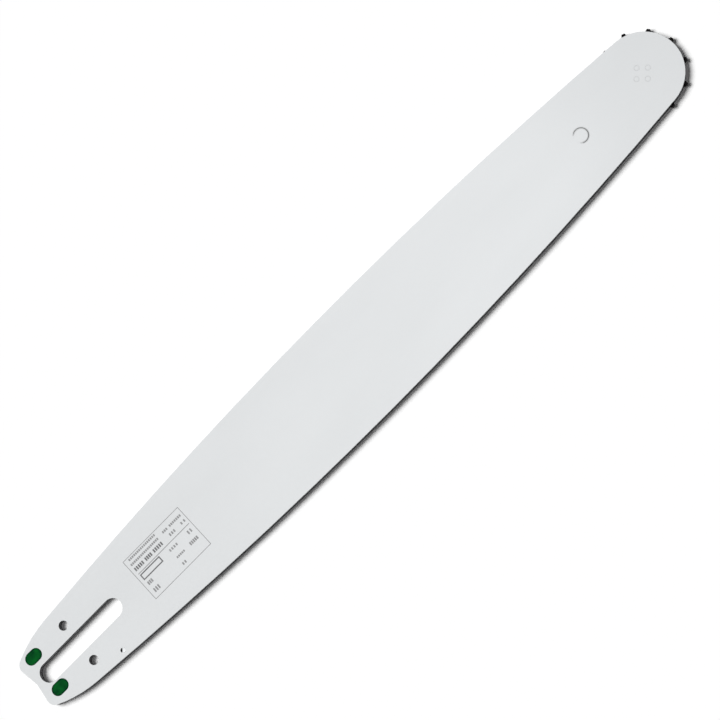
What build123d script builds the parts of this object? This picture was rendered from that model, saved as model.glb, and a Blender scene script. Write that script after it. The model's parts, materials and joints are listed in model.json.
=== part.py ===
from build123d import *
import os
from math import asin, cos, degrees, pi, radians, sin, sqrt

# Laminated chainsaw guide bar with a sprocket nose, lying flat on its rear face.
# X runs from the clamping end to the nose, Y across the bar and Z up through its thickness.
# The origin is the middle of the stud slot on the rear face. Millimetres and degrees.

# Laminate: two side plates welded to a narrower core, which leaves the chain groove round the edge
plate_thickness = 1.55
groove_width = 1.6
groove_depth = 7.2
rail_chamfer = 0.12

# Outline: each rail is one long arc that runs into the nose circle
clamp_width = 50.5
rail_belly = 9.55
nose_x = 465.2
nose_radius = 24.65
tail_wall = 4.4
tail_slant = 8.6
tail_round_length = 28.0
tail_round_radius = 80.0
tail_corner_radius = 5.6

# Clamping end: stud slot, chain tensioner holes and one oil hole in each side plate
slot_width = 12.2
slot_length = 66.0
tensioner_hole_diameter = 6.0
tensioner_hole_spacing = 27.9
tensioner_hole_x = -2.0
oil_hole_diameter = 1.2
oil_hole_mouth_diameter = 4.2
oil_hole_mouth_angle = 90.0
oil_hole_x = 14.7
oil_hole_below_rail = 4.3

# Windows that lighten the core
window_length = 43.0
window_height = 28.0
window_corner_radius = 9.0
window_web = 17.0
window_land = 42.0

# Plug that lines the plates up behind the nose
plug_diameter = 9.3
plug_setback = 49.7
plug_chamfer = 0.4
plug_fit = 0.02

# Nose bearing: a riveted hub with a full ring of loose rollers
hub_diameter = 18.3
roller_diameter = 2.4
roller_gap = 0.08
roller_clearance = 0.03
side_clearance = 0.05
rivet_count = 4
rivet_circle_diameter = 9.2
rivet_diameter = 3.0
rivet_fit = 0.02

# Nose sprocket: a star whose gaps take the drive links and whose tips lift the chain off the nose
tooth_count = 11
tooth_rise = 1.95
tooth_tip_width = 2.0
tooth_tip_round = 0.5
tooth_gap_depth = 7.4
tooth_gap_radius = 3.2
tooth_turn = 5.4
pocket_clearance = 0.9

# Levels of the laminate
core_z = plate_thickness
front_z = core_z + groove_width
bar_thickness = front_z + plate_thickness
long_axis = Axis((0, 0, bar_thickness / 2), (1, 0, 0))

# Each rail's circle passes the clamping end, rises by the belly and touches the nose circle from outside
half_width = clamp_width / 2 + rail_belly
nose_drop = half_width - nose_radius
square_reach = nose_x**2 - nose_drop * rail_belly + half_width**2 - nose_radius**2
widest_x = square_reach / (nose_x + sqrt(nose_x**2 - (1 - nose_drop / rail_belly) * square_reach))
rail_radius = (widest_x**2 + rail_belly**2) / (2 * rail_belly)
rail_centre = Vector(widest_x, half_width - rail_radius)
nose_centre = Vector(nose_x, 0)

# Tail: the rail turns in on a smaller arc, and the end is two straight halves that meet in a shallow notch
notch = Vector(-slot_length / 2 - tail_wall, 0)
tail_heading = Vector(-sin(radians(tail_slant)), cos(radians(tail_slant)))
tail_round_x = notch.X + tail_round_length


def rail_y(x):
    """Distance of the rail from the bar's long axis at x."""
    return rail_centre.Y + sqrt(rail_radius**2 - (x - rail_centre.X) ** 2)


def bar_face(inset):
    """The bar's outline with its rails and nose set in by inset, and its tail edge left where it is."""
    round_start = Vector(tail_round_x, rail_y(tail_round_x))
    to_rail_centre = (rail_centre - round_start).normalized()
    tail_centre = round_start + to_rail_centre * tail_round_radius
    rail_start = round_start + to_rail_centre * inset
    rail_end = nose_centre + (nose_centre - rail_centre).normalized() * (nose_radius - inset)
    nose_tip = nose_centre + Vector(nose_radius - inset, 0)
    # the tail corner is where the straight half meets the tail's arc
    from_centre = notch - tail_centre
    nearest = from_centre.dot(tail_heading)
    half_chord = sqrt(nearest**2 - from_centre.length**2 + (tail_round_radius - inset) ** 2)
    corner = notch + tail_heading * (half_chord - nearest)
    with BuildSketch() as face:
        with BuildLine():
            Line(notch, corner)
            RadiusArc(corner, rail_start, tail_round_radius - inset)
            RadiusArc(rail_start, rail_end, rail_radius - inset)
            RadiusArc(rail_end, nose_tip, nose_radius - inset)
            mirror(about=Plane.XZ)
        make_face()
    return face.sketch


# Bearing and sprocket radii, from the hub outwards
hub_radius = hub_diameter / 2
roller_circle_radius = hub_radius + roller_clearance + roller_diameter / 2
roller_count = int(pi / asin((roller_diameter + roller_gap) / (2 * roller_circle_radius)))
sprocket_bore_radius = roller_circle_radius + roller_diameter / 2 + roller_clearance
running_z = core_z + side_clearance
running_width = groove_width - 2 * side_clearance
tooth_tip_radius = nose_radius + tooth_rise

# Windows fill the core between the slot and the plug, as many as there is room for
plug_x = nose_x - plug_setback
window_start = slot_length / 2 + window_land
window_end = plug_x - plug_diameter / 2 - window_land
window_pitch = window_length + window_web
window_count = int((window_end - window_start + window_web) / window_pitch)

os.makedirs("parts", exist_ok=True)

# Front side plate: a blanked steel plate whose edge is half of the rail
with BuildPart() as front_side_plate:
    with BuildSketch(Plane.XY.offset(front_z)) as plate_profile:
        add(bar_face(0))
        fillet(plate_profile.vertices().sort_by(Axis.X)[:2], tail_corner_radius)
        SlotOverall(slot_length, slot_width, mode=Mode.SUBTRACT)
        with Locations((tensioner_hole_x, 0)):
            with GridLocations(0, tensioner_hole_spacing, 1, 2):
                Circle(tensioner_hole_diameter / 2, mode=Mode.SUBTRACT)
    extrude(amount=plate_thickness)
    outer_face = front_side_plate.faces().sort_by(Axis.Z)[-1]
    chamfer(outer_face.outer_wire().edges(), rail_chamfer)
    with Locations((oil_hole_x, oil_hole_below_rail - rail_y(oil_hole_x), bar_thickness)):
        CounterSinkHole(
            oil_hole_diameter / 2, oil_hole_mouth_diameter / 2, plate_thickness, oil_hole_mouth_angle
        )
    with Locations(nose_centre + Vector(0, 0, bar_thickness)):
        with PolarLocations(rivet_circle_diameter / 2, rivet_count):
            Hole(rivet_diameter / 2 + rivet_fit, plate_thickness)
    with Locations((plug_x, 0, bar_thickness)):
        Hole(plug_diameter / 2 + plug_fit, plate_thickness)
front_side_plate.part.label = "front_side_plate"
export_step(front_side_plate.part, "parts/front_side_plate.step")

# Rear side plate: the same pressing turned over, so its oil hole lies by the other rail
with BuildPart() as rear_side_plate:
    add(front_side_plate.part.rotate(long_axis, 180))
rear_side_plate.part.label = "rear_side_plate"
export_step(rear_side_plate.part, "parts/rear_side_plate.step")

# Core plate: spacer whose edge is the floor of the groove, cut back round the sprocket
with BuildPart() as core_plate:
    with BuildSketch(Plane.XY.offset(core_z)):
        add(bar_face(groove_depth))
        SlotOverall(slot_length, slot_width, mode=Mode.SUBTRACT)
        with Locations((tensioner_hole_x, 0)):
            with GridLocations(0, tensioner_hole_spacing, 1, 2):
                Circle(tensioner_hole_diameter / 2, mode=Mode.SUBTRACT)
        with Locations(nose_centre):
            Circle(tooth_tip_radius + pocket_clearance, mode=Mode.SUBTRACT)
        with Locations((plug_x, 0)):
            Circle(plug_diameter / 2 + plug_fit, mode=Mode.SUBTRACT)
        with Locations(((window_start + window_end) / 2, 0)):
            with GridLocations(window_pitch, 0, window_count, 1):
                RectangleRounded(window_length, window_height, window_corner_radius, mode=Mode.SUBTRACT)
    extrude(amount=groove_width)
core_plate.part.label = "core_plate"
export_step(core_plate.part, "parts/core_plate.step")

# Locating plug: a turned pin flush with both faces, whose broken edges leave a fine ring
with BuildPart() as locating_plug:
    with BuildSketch():
        with Locations((plug_x, 0)):
            Circle(plug_diameter / 2)
    extrude(amount=bar_thickness)
    chamfer(locating_plug.edges().filter_by(GeomType.CIRCLE), plug_chamfer)
locating_plug.part.label = "locating_plug"
export_step(locating_plug.part, "parts/locating_plug.step")

# Bearing hub: hardened disc between the plates, the fixed inner race of the nose bearing
with BuildPart() as bearing_hub:
    with BuildSketch(Plane.XY.offset(core_z)):
        with Locations(nose_centre):
            Circle(hub_radius)
            with PolarLocations(rivet_circle_diameter / 2, rivet_count):
                Circle(rivet_diameter / 2 + rivet_fit, mode=Mode.SUBTRACT)
    extrude(amount=groove_width)
bearing_hub.part.label = "bearing_hub"
export_step(bearing_hub.part, "parts/bearing_hub.step")

# Hub rivets: pins through hub and plates, peened and dressed flush with both faces
with BuildPart() as hub_rivets:
    with BuildSketch():
        with Locations(nose_centre):
            with PolarLocations(rivet_circle_diameter / 2, rivet_count):
                Circle(rivet_diameter / 2)
    extrude(amount=bar_thickness)
hub_rivets.part.label = "hub_rivets"
export_step(hub_rivets.part, "parts/hub_rivets.step")


def tooth_gap():
    """One gap of the star, on +X: a round root whose straight flanks open to the corners of two tips."""
    root_x = tooth_tip_radius - tooth_gap_depth + tooth_gap_radius
    half_mouth = 180 / tooth_count - degrees(tooth_tip_width / 2 / tooth_tip_radius)
    with BuildSketch() as gap:
        with BuildLine():
            CenterArc((root_x, 0), tooth_gap_radius, 0, 360)
            CenterArc((0, 0), tooth_tip_radius, -half_mouth, 2 * half_mouth)
        make_hull()
    return gap.sketch


# Nose sprocket: a hardened star that runs on the rollers between the side plates
with BuildPart() as nose_sprocket:
    with BuildSketch(Plane.XY.offset(running_z)) as star:
        with Locations(nose_centre):
            Circle(tooth_tip_radius)
            Circle(sprocket_bore_radius, mode=Mode.SUBTRACT)
            with PolarLocations(0, tooth_count, start_angle=tooth_turn + 180 / tooth_count):
                add(tooth_gap(), mode=Mode.SUBTRACT)
        tip_corners = star.vertices().sort_by_distance(nose_centre)[-2 * tooth_count :]
        fillet(tip_corners, tooth_tip_round)
    extrude(amount=running_width)
nose_sprocket.part.label = "nose_sprocket"
export_step(nose_sprocket.part, "parts/nose_sprocket.step")

# Bearing rollers: short loose cylinders that fill the ring between hub and sprocket
for number in range(roller_count):
    turn = 2 * pi * number / roller_count
    roller_centre = nose_centre + Vector(cos(turn), sin(turn)) * roller_circle_radius
    with BuildPart(Plane(roller_centre + Vector(0, 0, running_z))) as bearing_roller:
        Cylinder(roller_diameter / 2, running_width, align=(Align.CENTER, Align.CENTER, Align.MIN))
    bearing_roller.part.label = f"bearing_roller_{number + 1:02d}"
    export_step(bearing_roller.part, f"parts/{bearing_roller.part.label}.step")
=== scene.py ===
import json
from math import cos, pi, radians, sin

import bpy
import numpy as np
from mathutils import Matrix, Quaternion, Vector


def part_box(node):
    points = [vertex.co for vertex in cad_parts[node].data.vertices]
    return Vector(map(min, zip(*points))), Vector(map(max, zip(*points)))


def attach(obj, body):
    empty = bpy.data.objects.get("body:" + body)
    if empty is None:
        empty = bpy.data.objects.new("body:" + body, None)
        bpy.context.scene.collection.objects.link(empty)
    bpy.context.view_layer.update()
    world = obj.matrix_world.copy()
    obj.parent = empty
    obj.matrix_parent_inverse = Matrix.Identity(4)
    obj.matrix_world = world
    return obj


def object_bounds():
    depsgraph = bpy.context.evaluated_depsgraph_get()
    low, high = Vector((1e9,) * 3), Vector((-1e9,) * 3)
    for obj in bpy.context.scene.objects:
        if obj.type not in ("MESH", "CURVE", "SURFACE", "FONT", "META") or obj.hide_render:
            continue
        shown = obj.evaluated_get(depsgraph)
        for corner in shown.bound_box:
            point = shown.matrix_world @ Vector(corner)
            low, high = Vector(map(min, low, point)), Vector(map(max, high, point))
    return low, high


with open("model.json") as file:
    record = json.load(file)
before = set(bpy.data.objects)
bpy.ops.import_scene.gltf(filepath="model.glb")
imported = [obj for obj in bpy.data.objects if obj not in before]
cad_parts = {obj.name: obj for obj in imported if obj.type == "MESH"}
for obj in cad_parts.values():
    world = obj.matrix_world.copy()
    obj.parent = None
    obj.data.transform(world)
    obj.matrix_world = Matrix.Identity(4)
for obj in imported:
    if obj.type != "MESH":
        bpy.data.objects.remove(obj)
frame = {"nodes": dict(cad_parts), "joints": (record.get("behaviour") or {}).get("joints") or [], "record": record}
cad_low, cad_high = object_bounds()
nodes = frame["nodes"]

# Core plate: the spacer between the side plates, whose edge is the floor of the chain groove.
# It is blanked from cold rolled strip with the rolling lines along the bar, then oiled and left bare.
micron = 1e-6


def new_finish(name):
    """A new material, with its node tree and the shader that carries it."""
    finish = bpy.data.materials.new(name)
    finish.use_nodes = True
    return finish, finish.node_tree, finish.node_tree.nodes["Principled BSDF"]


def feed(tree, node, sockets):
    """Gives each named or numbered socket a link, if its value is a node's output, or else a constant."""
    for socket, value in sockets.items():
        if isinstance(value, bpy.types.NodeSocket):
            tree.links.new(value, node.inputs[socket])
        else:
            node.inputs[socket].default_value = value


def put(tree, kind, sockets, **settings):
    """Adds one shader node with its settings, and feeds its sockets."""
    node = tree.nodes.new(f"ShaderNode{kind}")
    for setting, value in settings.items():
        setattr(node, setting, value)
    feed(tree, node, sockets)
    return node


def own_place(tree):
    """Where a point lies on the piece itself, in metres."""
    return put(tree, "TexCoord", {}).outputs["Object"]


def grain(tree, waves, detail=2.0):
    """Noise on the piece, with so many waves to the metre along X, Y and Z."""
    stretched = put(tree, "Mapping", {"Vector": own_place(tree), "Scale": waves}).outputs["Vector"]
    return put(tree, "TexNoise", {"Vector": stretched, "Scale": 1.0, "Detail": detail}).outputs[0]


def eased(tree, value, start, stop, low=0.0, high=1.0):
    """Smooth step: low up to start, high from stop on."""
    sockets = {"Value": value, "From Min": start, "From Max": stop, "To Min": low, "To Max": high}
    return put(tree, "MapRange", sockets, interpolation_type="SMOOTHSTEP").outputs["Result"]


def tint(tree, pattern, dark, light):
    """Colour that runs from dark to light as a pattern goes from a quarter to three quarters."""
    ramp = put(tree, "ValToRGB", {"Fac": pattern})
    for stop, position, colour in zip(ramp.color_ramp.elements, (0.25, 0.75), (dark, light)):
        stop.position = position
        stop.color = (*colour, 1.0)
    return ramp.outputs["Color"]


def relief(tree, height, depth, **under):
    """Bump that stands depth metres high where the height is 1, on top of another relief if one is given."""
    return put(tree, "Bump", {"Height": height, "Distance": depth, **under}).outputs["Normal"]


def rolled_steel():
    """Grey strip: rolling lines along X change its shade, its gloss and its relief."""
    line_depth = 2 * micron
    finish, tree, shader = new_finish("rolled_steel")
    lines = grain(tree, (6.0, 700.0, 700.0), detail=4.0)
    sockets = {
        "Metallic": 1.0,
        "Base Color": tint(tree, lines, (0.24, 0.24, 0.25), (0.38, 0.38, 0.39)),
        "Roughness": eased(tree, lines, 0.3, 0.7, 0.34, 0.5),
        "Normal": relief(tree, lines, line_depth),
    }
    feed(tree, shader, sockets)
    return finish


nodes["core_plate"].material_slots[0].material = rolled_steel()

# Rear side plate: a blanked steel plate, welded to the core and sprayed with pale grey satin lacquer on its
# outer face. Its edge, the rail, is ground bright after that, while the slot and the holes are painted
# near black, as painted shade.
mm = 0.001
face_z = cad_high.z
middle_z = (cad_low.z + cad_high.z) / 2
sprocket_centre = Vector(frame["joints"][0]["pos_m"])
rivets_low, rivets_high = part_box("hub_rivets")
rivet_radius = 1.5 * mm
rivet_circle_radius = (rivets_high.x - rivets_low.x) / 2 - rivet_radius
rim_width = 0.7 * mm
plug_low, plug_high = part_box("locating_plug")
plug_centre = (plug_low + plug_high) / 2
plug_radius = (plug_high.x - plug_low.x) / 2
plug_chamfer = 0.4 * mm
# the painted shade in the plug's seam: its width, and where it fades in on the side towards the clamping end
seam_shade_width = 1.05 * mm
seam_closed_x = -3.5 * mm
seam_open_x = -1.5 * mm


def maths(tree, operation, *values):
    """One operation on sockets or plain numbers."""
    return put(tree, "Math", dict(enumerate(values)), operation=operation).outputs["Value"]


def blended(tree, share, first, second):
    """First where the share is 0 and second where it is 1, for two colours or two numbers."""
    is_colour = isinstance(first, bpy.types.NodeSocketColor)
    mix = put(tree, "Mix", {}, data_type="RGBA" if is_colour else "FLOAT")
    in_use = [number for number, socket in enumerate(mix.inputs) if socket.enabled]
    feed(tree, mix, dict(zip(in_use, (share, first, second))))
    return next(socket for socket in mix.outputs if socket.enabled)


def ring_mark(tree, x, y, radius, width):
    """1 on the circle of a radius about x = y = 0, and 0 from a width away from it on."""
    square = maths(tree, "ADD", maths(tree, "POWER", x, 2.0), maths(tree, "POWER", y, 2.0))
    from_ring = maths(tree, "ABSOLUTE", maths(tree, "SUBTRACT", maths(tree, "SQRT", square), radius))
    return eased(tree, from_ring, 0.0, width, 1.0, 0.0)


def from_point(tree, point):
    """Distances along X, Y and Z from a point of the bar."""
    away = put(tree, "VectorMath", {0: own_place(tree), 1: point}, operation="SUBTRACT").outputs["Vector"]
    return put(tree, "SeparateXYZ", {"Vector": away}).outputs


def rivet_rims(tree):
    """1 on the rims of the hub's rivets and 0 away from them.

    The rivets lie on the two axes through the sprocket's centre, so the larger and the smaller of the two
    distances from those axes fold all four onto one.
    """
    away = from_point(tree, sprocket_centre)
    folded = [maths(tree, "ABSOLUTE", away[axis]) for axis in ("X", "Y")]
    along = maths(tree, "SUBTRACT", maths(tree, "MAXIMUM", *folded), rivet_circle_radius)
    return ring_mark(tree, along, maths(tree, "MINIMUM", *folded), rivet_radius, rim_width)


def seam_shade_ring(tree):
    """1 along the middle of the plug's chamfer and 0 a short way from it.

    It is 0 all along the side towards the clamping end. The lacquer is painted darker as shade where it is 1.
    """
    away = from_point(tree, plug_centre)
    ring = ring_mark(tree, away["X"], away["Y"], plug_radius - plug_chamfer / 2, seam_shade_width)
    return maths(tree, "MULTIPLY", ring, eased(tree, away["X"], seam_closed_x, seam_open_x))


def lacquer_and_painted_shade(tree, along, rims):
    """Pale grey in faint clouds, with painted shade in the plug's seam and, faintly, on the rivets' sunk rims.

    It is lightest ahead of the bar's middle, and a little darker towards the clamping end and the nose: this
    is painted light and shade along the bar.
    """
    # painted light and shade along the bar: lightest ahead of the middle, darker towards both ends
    falloff_lightest_x = 330 * mm
    falloff_nose_start_x = 380 * mm
    falloff_nose_end_x = 485 * mm
    painted_clamp_shade = -0.13
    painted_lightest = 0.07
    painted_nose_shade = -0.2
    # painted shade in the plug's seam and on the rivets' sunk rims
    seam_shade_strength = 0.6
    rim_shade_strength = 0.12
    clouds = eased(tree, grain(tree, (9.0, 25.0, 25.0), detail=3.0), 0.2, 0.8, 0.45, 0.55)
    painted_falloff = eased(tree, along, 0.0, falloff_lightest_x, painted_clamp_shade, painted_lightest)
    painted_nose_falloff = eased(tree, along, falloff_nose_start_x, falloff_nose_end_x, 0.0, painted_nose_shade)
    cover = maths(tree, "ADD", clouds, maths(tree, "ADD", painted_falloff, painted_nose_falloff))
    lacquer_and_falloff = tint(tree, cover, (0.650, 0.664, 0.673), (0.794, 0.811, 0.822))
    painted_shade_colour = tint(tree, clouds, (0.2, 0.2, 0.2), (0.26, 0.26, 0.26))
    seam_shade_share = maths(tree, "MULTIPLY", seam_shade_ring(tree), seam_shade_strength)
    rim_shade_share = maths(tree, "MULTIPLY", rims, rim_shade_strength)
    return blended(tree, maths(tree, "MAXIMUM", seam_shade_share, rim_shade_share), lacquer_and_falloff, painted_shade_colour)


def steel_colour(tree, place, scratches, oil_hole_shade_share):
    """Near black in the oil holes and in the openings near the long axis, as painted shade, and ground steel
    elsewhere.
    """
    openings_y = 19 * mm
    openings_end_x = 440 * mm
    ground = tint(tree, scratches, (0.18, 0.18, 0.185), (0.30, 0.30, 0.31))
    # near black steel for the openings and the oil holes' bottoms: painted shade
    painted_shade_steel = tint(tree, scratches, (0.03, 0.03, 0.032), (0.07, 0.07, 0.072))
    from_axis = maths(tree, "ABSOLUTE", place["Y"])
    near_axis = eased(tree, from_axis, openings_y - mm, openings_y + mm, 1.0, 0.0)
    behind_nose = eased(tree, place["X"], openings_end_x - mm, openings_end_x + mm, 1.0, 0.0)
    opening_shade_share = maths(tree, "MULTIPLY", near_axis, behind_nose)
    return blended(tree, maths(tree, "MAXIMUM", opening_shade_share, oil_hole_shade_share), ground, painted_shade_steel)


def lacquered_plate():
    """Satin lacquer on the outer faces and bare steel on the rest.

    The lacquer covers what faces outwards, by the Z part of the surface's own normal, down to the spray's
    depth below the face, so edges and the bottoms of the oil holes are bare. It has a fine orange peel and
    sinks a little over the rivets' rims. The bare steel is scratched along the edges, and is painted near
    black, as painted shade, in the openings and the oil holes' bottoms.
    """
    bare_normal_z = 0.2
    covered_normal_z = 0.5
    spray_depth = 0.7 * mm
    spray_fade = 0.1 * mm
    rim_sink = 25 * micron
    peel_height = 3 * micron
    scratch_height = 4 * micron
    finish, tree, shader = new_finish("lacquered_plate")
    place = from_point(tree, (0.0, 0.0, middle_z))
    normal = put(tree, "SeparateXYZ", {"Vector": put(tree, "TexCoord", {}).outputs["Normal"]}).outputs
    outwards = maths(tree, "MULTIPLY", normal["Z"], maths(tree, "SIGN", place["Z"]))
    facing_out = eased(tree, outwards, bare_normal_z, covered_normal_z)
    spray_end = face_z - middle_z - spray_depth
    from_middle = maths(tree, "ABSOLUTE", place["Z"])
    deep = eased(tree, from_middle, spray_end - spray_fade, spray_end, 1.0, 0.0)
    bare = maths(tree, "MAXIMUM", maths(tree, "SUBTRACT", 1.0, facing_out), deep)
    # the oil holes' bottoms, which the steel colour paints near black as painted shade
    oil_hole_shade_share = maths(tree, "MULTIPLY", facing_out, deep)
    rims = rivet_rims(tree)
    peel = grain(tree, (700.0, 700.0, 700.0), detail=1.0)
    scratches = grain(tree, (25.0, 25.0, 5000.0), detail=3.0)
    lacquer_with_shade = lacquer_and_painted_shade(tree, place["X"], rims)
    steel_with_shade = steel_colour(tree, place, scratches, oil_hole_shade_share)
    sunk_relief = relief(tree, rims, -rim_sink)
    coat_relief = relief(tree, peel, peel_height, Normal=sunk_relief)
    bare_scratches = maths(tree, "MULTIPLY", scratches, bare)
    sockets = {
        "Metallic": bare,
        "Base Color": blended(tree, bare, lacquer_with_shade, steel_with_shade),
        "Roughness": blended(tree, bare, eased(tree, peel, 0.2, 0.8, 0.55, 0.65), 0.3),
        "Specular IOR Level": 0.3,
        "Normal": relief(tree, bare_scratches, scratch_height, Normal=coat_relief),
    }
    feed(tree, shader, sockets)
    return finish


lacquer_finish = lacquered_plate()
nodes["rear_side_plate"].material_slots[0].material = lacquer_finish

# Locating plug: a turned pin, pressed through all three plates and lacquered with them.
# Its broken edge leaves a fine open ring in the face, which is painted darker as shade.
nodes["locating_plug"].material_slots[0].material = lacquer_finish

# Bearing hub: a hardened steel disc, the fixed inner race of the nose bearing.
# It is ground flat and round, and the rivets hold it between the side plates.


def ground_steel():
    """Bright bearing steel: fine lines from the grinding wheel, square to Z, under a thin film of grease."""
    line_depth = 1 * micron
    finish, tree, shader = new_finish("ground_steel")
    lines = grain(tree, (80.0, 80.0, 9000.0), detail=3.0)
    haze = grain(tree, (300.0, 300.0, 300.0), detail=2.0)
    sockets = {
        "Metallic": 1.0,
        "Base Color": tint(tree, haze, (0.44, 0.43, 0.41), (0.58, 0.58, 0.58)),
        "Roughness": eased(tree, lines, 0.3, 0.7, 0.18, 0.32),
        "Normal": relief(tree, lines, line_depth),
        "Coat Weight": 0.3,
        "Coat Roughness": 0.25,
    }
    feed(tree, shader, sockets)
    return finish


bearing_finish = ground_steel()
nodes["bearing_hub"].material_slots[0].material = bearing_finish

# Bearing rollers: short cylinders of the same hardened and ground steel as the hub.
# They lie loose in a full ring between the hub and the sprocket, packed in grease.
for name in frame["record"]["behaviour"]["bodies"]["roller_set"]:
    nodes[name].material_slots[0].material = bearing_finish

# Nose sprocket: a star stamped from steel plate, hardened and blackened. It runs on the rollers between the
# side plates, with its tips just outside the nose.


def blackened_steel():
    """Black oxide on steel: near black, with faint brown clouds and a dull, slightly pitted surface."""
    pit_depth = 3 * micron
    finish, tree, shader = new_finish("blackened_steel")
    clouds = grain(tree, (250.0, 250.0, 250.0), detail=4.0)
    pits = grain(tree, (3500.0, 3500.0, 3500.0), detail=2.0)
    sockets = {
        "Metallic": 1.0,
        "Base Color": tint(tree, clouds, (0.003, 0.003, 0.0035), (0.008, 0.0075, 0.007)),
        "Roughness": eased(tree, pits, 0.3, 0.7, 0.45, 0.62),
        "Normal": relief(tree, pits, pit_depth),
    }
    feed(tree, shader, sockets)
    return finish


nodes["nose_sprocket"].material_slots[0].material = blackened_steel()

# Front side plate: the same steel pressing as the rear one turned over, welded on last.
# It is sprayed with the same lacquer.
nodes["front_side_plate"].material_slots[0].material = lacquer_finish

# Hub rivets: four soft steel pins through the hub and both side plates, peened and dressed flush.
# They are sprayed over with the faces, so only faint rims show: sunk, and painted a little darker as shade.
nodes["hub_rivets"].material_slots[0].material = lacquer_finish

# Seam run: lacquer that has closed the plug's open ring on the side towards the clamping end.
# It fills the ring level with the face and runs out to almost nothing at both ends.
plug_fit = 0.02 * mm
run_start = radians(130)
run_end = radians(232)
run_out = radians(14)
thinnest_share = 0.04


def new_object(name, data):
    """A new object that shows the data, linked into the scene at the origin."""
    added = bpy.data.objects.new(name, data)
    bpy.context.scene.collection.objects.link(added)
    return added


def ringed_mesh(name, rings, closed=False):
    """A new piece through rings of points, an array of (pad, ring, point, xyz).

    Quads join each ring of a pad to its next. The last ring is joined to the first if closed, and otherwise
    the two end rings are each filled with one face.
    """
    number = np.arange(rings[..., 0].size).reshape(rings.shape[:-1])
    here, there = (number, np.roll(number, -1, axis=1)) if closed else (number[:, :-1], number[:, 1:])
    quads = np.stack([here, np.roll(here, -1, axis=2), np.roll(there, -1, axis=2), there], axis=-1)
    faces = quads.reshape(-1, 4).tolist()
    if not closed:
        faces += number[:, 0, ::-1].tolist() + number[:, -1].tolist()
    mesh = bpy.data.meshes.new(name)
    mesh.from_pydata(rings.reshape(-1, 3).tolist(), [], faces)
    return new_object(name, mesh)


def seam_run(steps=48):
    """Rings along the run's arc: each is the seam's three-cornered section, drawn in towards its root.

    The section's corners are the two edges at the face and the root a chamfer lower. The edges stand at
    their full place along the arc, and within run_out of an end they slide to the root by a smooth step.
    """
    turn = np.linspace(run_start, run_end, steps)
    from_end = np.clip(np.minimum(turn - run_start, run_end - turn) / run_out, thinnest_share, 1.0)
    fullness = (from_end**2 * (3 - 2 * from_end))[:, None]
    root_radius = plug_radius + plug_fit / 2
    root_z = face_z - plug_chamfer
    corner_radius = np.array([plug_radius - plug_chamfer, plug_radius + plug_fit, root_radius])
    corner_z = np.array([face_z, face_z, root_z])
    radius = root_radius + (corner_radius - root_radius) * fullness
    height = root_z + (corner_z - root_z) * fullness
    x = plug_centre.x + radius * np.cos(turn)[:, None]
    y = plug_centre.y + radius * np.sin(turn)[:, None]
    return np.stack([x, y, height], axis=-1)[None]


seam = ringed_mesh("seam_run", seam_run())
seam.data.materials.append(lacquer_finish)
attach(seam, "bar")

# Oil hole mouths: each oil hole is drilled at a slant through its side plate, so that its mouth is shallow on
# one side and steep on the other. This is the plate's own steel round that hole, lacquered with the face.
oil_hole_x = 14.7 * mm
oil_hole_y = -22.14 * mm
steep_side = radians(135)
countersink_radius = 2.1 * mm
mouth_radius = 1.55 * mm
mouth_shift = -0.2 * mm
throat_length = 0.9 * mm
throat_width = 2.0 * mm
throat_shift = 0.84 * mm
throat_depth = 0.8 * mm
foot_radius = countersink_radius - throat_depth
face_sink = 0.003 * mm
crease_angle = radians(10)
# the four edges: foot and rim on the countersink, then the hole's mouth and its throat
edge_shift = np.array([0.0, 0.0, mouth_shift, throat_shift])
edge_along = np.array([foot_radius, countersink_radius, mouth_radius, throat_length / 2])
edge_across = np.array([foot_radius, countersink_radius, mouth_radius, throat_width / 2])
edge_depth = np.array([throat_depth, face_sink, face_sink, throat_depth])


def oil_mouth(points=64):
    """Four rings round the oil hole, one for each edge.

    Each is an ellipse, with one radius along the hole's slant and one across it. Its middle lies a shift from
    the countersink's axis towards the steep side, and it lies a depth below the face.
    """
    turn = np.linspace(0, 2 * pi, points, endpoint=False)
    along = edge_shift[:, None] + edge_along[:, None] * np.cos(turn)
    across = edge_across[:, None] * np.sin(turn)
    x = oil_hole_x + along * cos(steep_side) - across * sin(steep_side)
    y = oil_hole_y + along * sin(steep_side) + across * cos(steep_side)
    z = np.broadcast_to(face_z - edge_depth[:, None], x.shape)
    return np.stack([x, y, z], axis=-1)[None]


front_mouth = oil_mouth()
# half a turn about the long axis, as the rear plate is the front one turned over
rear_mouth = front_mouth * (1, -1, -1) + (0, 0, 2 * middle_z)
for name, rings in {"oil_mouth_front": front_mouth, "oil_mouth_rear": rear_mouth}.items():
    mouth = ringed_mesh(name, rings, closed=True)
    mouth.data.shade_smooth()
    mouth.data.set_sharp_from_angle(angle=crease_angle)
    mouth.data.materials.append(lacquer_finish)
    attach(mouth, "bar")

# Tail marks: two obrounds of dark green ink, pad printed on the lacquer beside the end of the slot.
# The ink has flowed to the rim of each mark, where it is darker.
mark_length = 11.6 * mm
mark_width = 7.9 * mm
mark_centres = {"tail_mark_left": (-27.9 * mm, 13.5 * mm), "tail_mark_right": (-27.95 * mm, -11.05 * mm)}
# the film's rings, from its foot in the lacquer up over the rim and in to the flat middle
film_inset = np.array([0.0, 0.0, 0.04, 0.14, 1.3]) * mm
film_height = np.array([-0.01, 0.01, 0.024, 0.03, 0.03]) * mm
film_rim = np.array([1.0, 1.0, 1.0, 1.0, 0.0])


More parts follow.
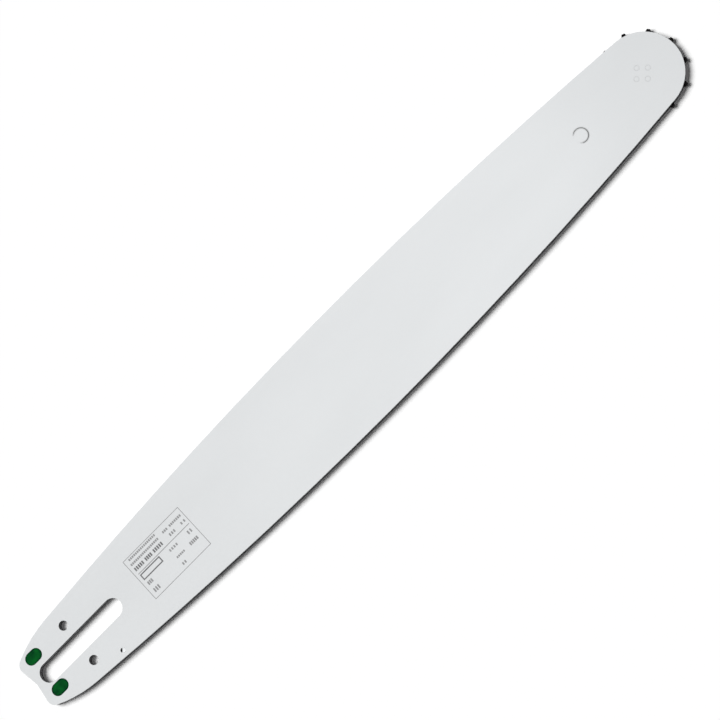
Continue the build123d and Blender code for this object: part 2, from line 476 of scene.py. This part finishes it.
def obround_film(centre, length, width, end_points=40):
    """Rings of a film of ink on an obround: the outline is two half circles with straight runs between them.

    Each ring lies inside the outline by the film's inset, at the film's height over the face.
    """
    half_turn = np.linspace(-pi / 2, pi / 2, end_points)
    turn = np.concatenate([half_turn, half_turn + pi])
    end_x = np.repeat([0.5, -0.5], end_points) * (length - width)
    radius = (width / 2 - film_inset)[:, None]
    x = centre[0] + end_x + radius * np.cos(turn)
    y = centre[1] + radius * np.sin(turn)
    z = np.broadcast_to(face_z + film_height[:, None], x.shape)
    return np.stack([x, y, z], axis=-1)[None]


def printed_ink(name, dark, light):
    """Matt ink: its shade drifts a little, and the printing pad leaves a fine stipple.

    It is darker towards where the piece's own rim attribute is 1. A piece without one has no such rim.
    """
    rim_shade = 0.3
    stipple_height = 3 * micron
    finish, tree, shader = new_finish(name)
    drift = grain(tree, (220.0, 220.0, 220.0), detail=3.0)
    stipple = grain(tree, (2500.0, 2500.0, 2500.0), detail=2.0)
    rim = put(tree, "Attribute", {}, attribute_name="rim").outputs["Fac"]
    cover = maths(tree, "SUBTRACT", drift, maths(tree, "MULTIPLY", rim, rim_shade))
    sockets = {
        "Base Color": tint(tree, cover, dark, light),
        "Roughness": eased(tree, stipple, 0.3, 0.7, 0.5, 0.65),
        "Specular IOR Level": 0.01,
        "Normal": relief(tree, stipple, stipple_height),
    }
    feed(tree, shader, sockets)
    return finish


mark_ink = printed_ink("green_ink", (0.0006, 0.034, 0.010), (0.0020, 0.112, 0.015))
for name, centre in mark_centres.items():
    rings = obround_film(centre, mark_length, mark_width)
    mark = ringed_mesh(name, rings)
    rim = mark.data.attributes.new("rim", "FLOAT", "POINT")
    rim.data.foreach_set("value", np.repeat(film_rim, rings.shape[2]))
    mark.data.materials.append(mark_ink)
    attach(mark, "bar")

# Printed panel: a ruled box ahead of the slot, pad printed on the lacquer in grey ink. A line divides it, one
# field holds a plain bar drawn in outline, and rows of plain dashes fill the rest.
frame_low = np.array([49.9, -14.6]) * mm
frame_high = np.array([96.0, 15.2]) * mm
rule_width = 0.36 * mm
rule_rise = 0.02 * mm
divider_y = 3.43 * mm
divider_width = 0.45 * mm
divider_inset = np.array([2.1, 1.3]) * mm
bar_low = np.array([52.6, -1.4]) * mm
bar_high = np.array([68.0, 2.1]) * mm
bar_rule_width = 0.75 * mm
dash_length = 1.0 * mm
dash_gap = 0.35 * mm
# each row of dashes: its left end, right end, middle and height, in millimetres
bold_rows = [
    (52.2, 59.2, 6.7, 2.4),
    (60.9, 66.1, 6.7, 2.4),
    (67.8, 75.0, 6.7, 2.4),
]
pale_rows = [
    (52.2, 75.0, 10.4, 1.4),
    (53.2, 75.0, 13.5, 1.4),
    (79.2, 83.0, 10.8, 1.5),
    (84.8, 94.2, 10.8, 1.5),
    (81.4, 85.8, 6.7, 1.9),
    (90.9, 94.2, 6.7, 1.7),
    (75.1, 81.4, -0.1, 1.7),
    (90.2, 93.2, -0.2, 2.4),
    (75.6, 82.0, -6.1, 1.3),
    (86.7, 93.1, -6.0, 2.2),
    (75.6, 78.4, -11.3, 1.8),
    (52.5, 56.2, -4.8, 2.4),
    (52.5, 56.8, -10.4, 2.8),
]
corner_signs = np.array([(-1, -1), (1, -1), (1, 1), (-1, 1)])


def rectangle_rings(low, high, offsets, heights):
    """Rings of four corners round each rectangle.

    Each ring's corners lie outside the rectangle's own by that ring's offset, at its height over the face.
    """
    low, high = np.atleast_2d(low), np.atleast_2d(high)
    corners = np.where(corner_signs > 0, high[:, None], low[:, None])
    flat = corners[:, None] + corner_signs * np.asarray(offsets)[:, None, None]
    z = np.broadcast_to(face_z + np.asarray(heights)[:, None, None], (*flat.shape[:-1], 1))
    return np.concatenate([flat, z], axis=-1)


def ruled_box(name, low, high, width):
    """A line of ink round a rectangle, half of its width to either side."""
    side = width / 2
    offsets = [side, side, -side, -side]
    heights = [-rule_rise, rule_rise, rule_rise, -rule_rise]
    return ringed_mesh(name, rectangle_rings(low, high, offsets, heights), closed=True)


def filled_boxes(name, low, high):
    """One flat field of ink from each lower corner to its upper corner, all in one piece."""
    return ringed_mesh(name, rectangle_rings(low, high, [0, 0], [-rule_rise, rule_rise]))


def row_of_dashes(left, right, middle, height):
    """Lower and upper corners of the dashes in one row, as many as fit, spread over its whole length."""
    count = int((right - left + dash_gap) / (dash_length + dash_gap))
    starts = np.linspace(left, right - dash_length, count)
    low = np.column_stack([starts, np.full(count, middle - height / 2)])
    return low, low + (dash_length, height)


def dashes(name, rows):
    """All dashes of the given rows as one piece."""
    corners = [row_of_dashes(*row) for row in np.array(rows) * mm]
    low, high = (np.concatenate(ends) for ends in zip(*corners))
    return filled_boxes(name, low, high)


divider_low = np.array([frame_low[0] + divider_inset[0], divider_y - divider_width / 2])
divider_high = np.array([frame_high[0] - divider_inset[1], divider_y + divider_width / 2])
bold_ink = printed_ink("bold_ink", (0.15, 0.15, 0.154), (0.22, 0.22, 0.225))
pale_ink = printed_ink("pale_ink", (0.28, 0.28, 0.285), (0.36, 0.36, 0.365))
panel = [
    (ruled_box("ruled_frame", frame_low, frame_high, rule_width), pale_ink),
    (filled_boxes("dividing_rule", divider_low, divider_high), pale_ink),
    (ruled_box("drawn_bar", bar_low, bar_high, bar_rule_width), bold_ink),
    (dashes("bold_dashes", bold_rows), bold_ink),
    (dashes("pale_dashes", pale_rows), pale_ink),
]
for print_piece, ink in panel:
    print_piece.data.materials.append(ink)
    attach(print_piece, "bar")

# Floor: a plain white studio surface that the bar lies on.
# To the camera and in reflections it glows a little, so that it is pure white outside the shadow.
floor_half = 4.0
floor_glow = 0.032
white = (1.0, 1.0, 1.0, 1.0)


def seen_directly(tree):
    """1 for what the camera sees, itself or in a reflection or through glass, and 0 for light on its way."""
    path = put(tree, "LightPath", {}).outputs
    reflected = maths(tree, "MAXIMUM", path["Is Glossy Ray"], path["Is Transmission Ray"])
    return maths(tree, "MAXIMUM", path["Is Camera Ray"], reflected)


def white_floor():
    """Matt white, with a faint glow that only the camera and reflections see."""
    finish, tree, shader = new_finish("white_floor")
    sockets = {
        "Base Color": (0.97, 0.97, 0.97, 1.0),
        "Roughness": 1.0,
        "Specular IOR Level": 0.0,
        "Emission Color": white,
        "Emission Strength": maths(tree, "MULTIPLY", seen_directly(tree), floor_glow),
    }
    feed(tree, shader, sockets)
    return finish


floor_corners = np.column_stack([corner_signs * floor_half, np.full(len(corner_signs), cad_low.z)])
floor_mesh = bpy.data.meshes.new("floor")
floor_mesh.from_pydata(floor_corners.tolist(), [], [(0, 1, 2, 3)])
floor_mesh.materials.append(white_floor())
floor = new_object("floor", floor_mesh)

# Light: one broad soft lamp, high over the left rail and the clamping end, so the shadow falls along the
# right rail. A white room fills that shadow a little, and is plain white to the camera.
lamp_azimuth = radians(224.433)
lamp_elevation = radians(54)
lamp_spread = radians(34)
lamp_strength = 3.692
room_fill = 0.05


def direction(azimuth, elevation):
    """Unit vector out from the bar, at an azimuth from -Y towards +X and an elevation over the floor."""
    level = cos(elevation)
    return Vector((sin(azimuth) * level, -cos(azimuth) * level, sin(elevation)))


lamp_data = bpy.data.lights.new("soft_lamp", "SUN")
lamp_data.energy = lamp_strength
lamp_data.angle = lamp_spread
lamp = new_object("soft_lamp", lamp_data)
lamp.rotation_mode = "QUATERNION"
lamp.rotation_quaternion = direction(lamp_azimuth, lamp_elevation).to_track_quat("Z", "Y")

room = bpy.data.worlds.new("white_room")
room.use_nodes = True
room_tree = room.node_tree
room_strength = eased(room_tree, seen_directly(room_tree), 0.0, 1.0, room_fill, 1.0)
feed(room_tree, room_tree.nodes["Background"], {"Color": white, "Strength": room_strength})
bpy.context.scene.world = room

# Camera: a long lens that looks steeply down on the middle of the bar's face, from over the right rail.
# It is rolled so that the bar runs up to the right across the square picture.
look_at = Vector((233.75 * mm, -0.62 * mm, face_z))
camera_distance = 1394.65 * mm
camera_azimuth = radians(17.611)
camera_elevation = radians(74.652)
camera_roll = radians(-62.302)
back = direction(camera_azimuth, camera_elevation)
camera_data = bpy.data.cameras.new("camera")
camera_data.lens = 120
camera_data.sensor_width = 36
camera_data.clip_end = 50
camera = new_object("camera", camera_data)
camera.rotation_mode = "QUATERNION"
camera.rotation_quaternion = (-back).to_track_quat("-Z", "Y") @ Quaternion((0, 0, 1), camera_roll)
camera.location = look_at + back * camera_distance
bpy.context.scene.camera = camera
bpy.context.scene.view_settings.view_transform = "Standard"
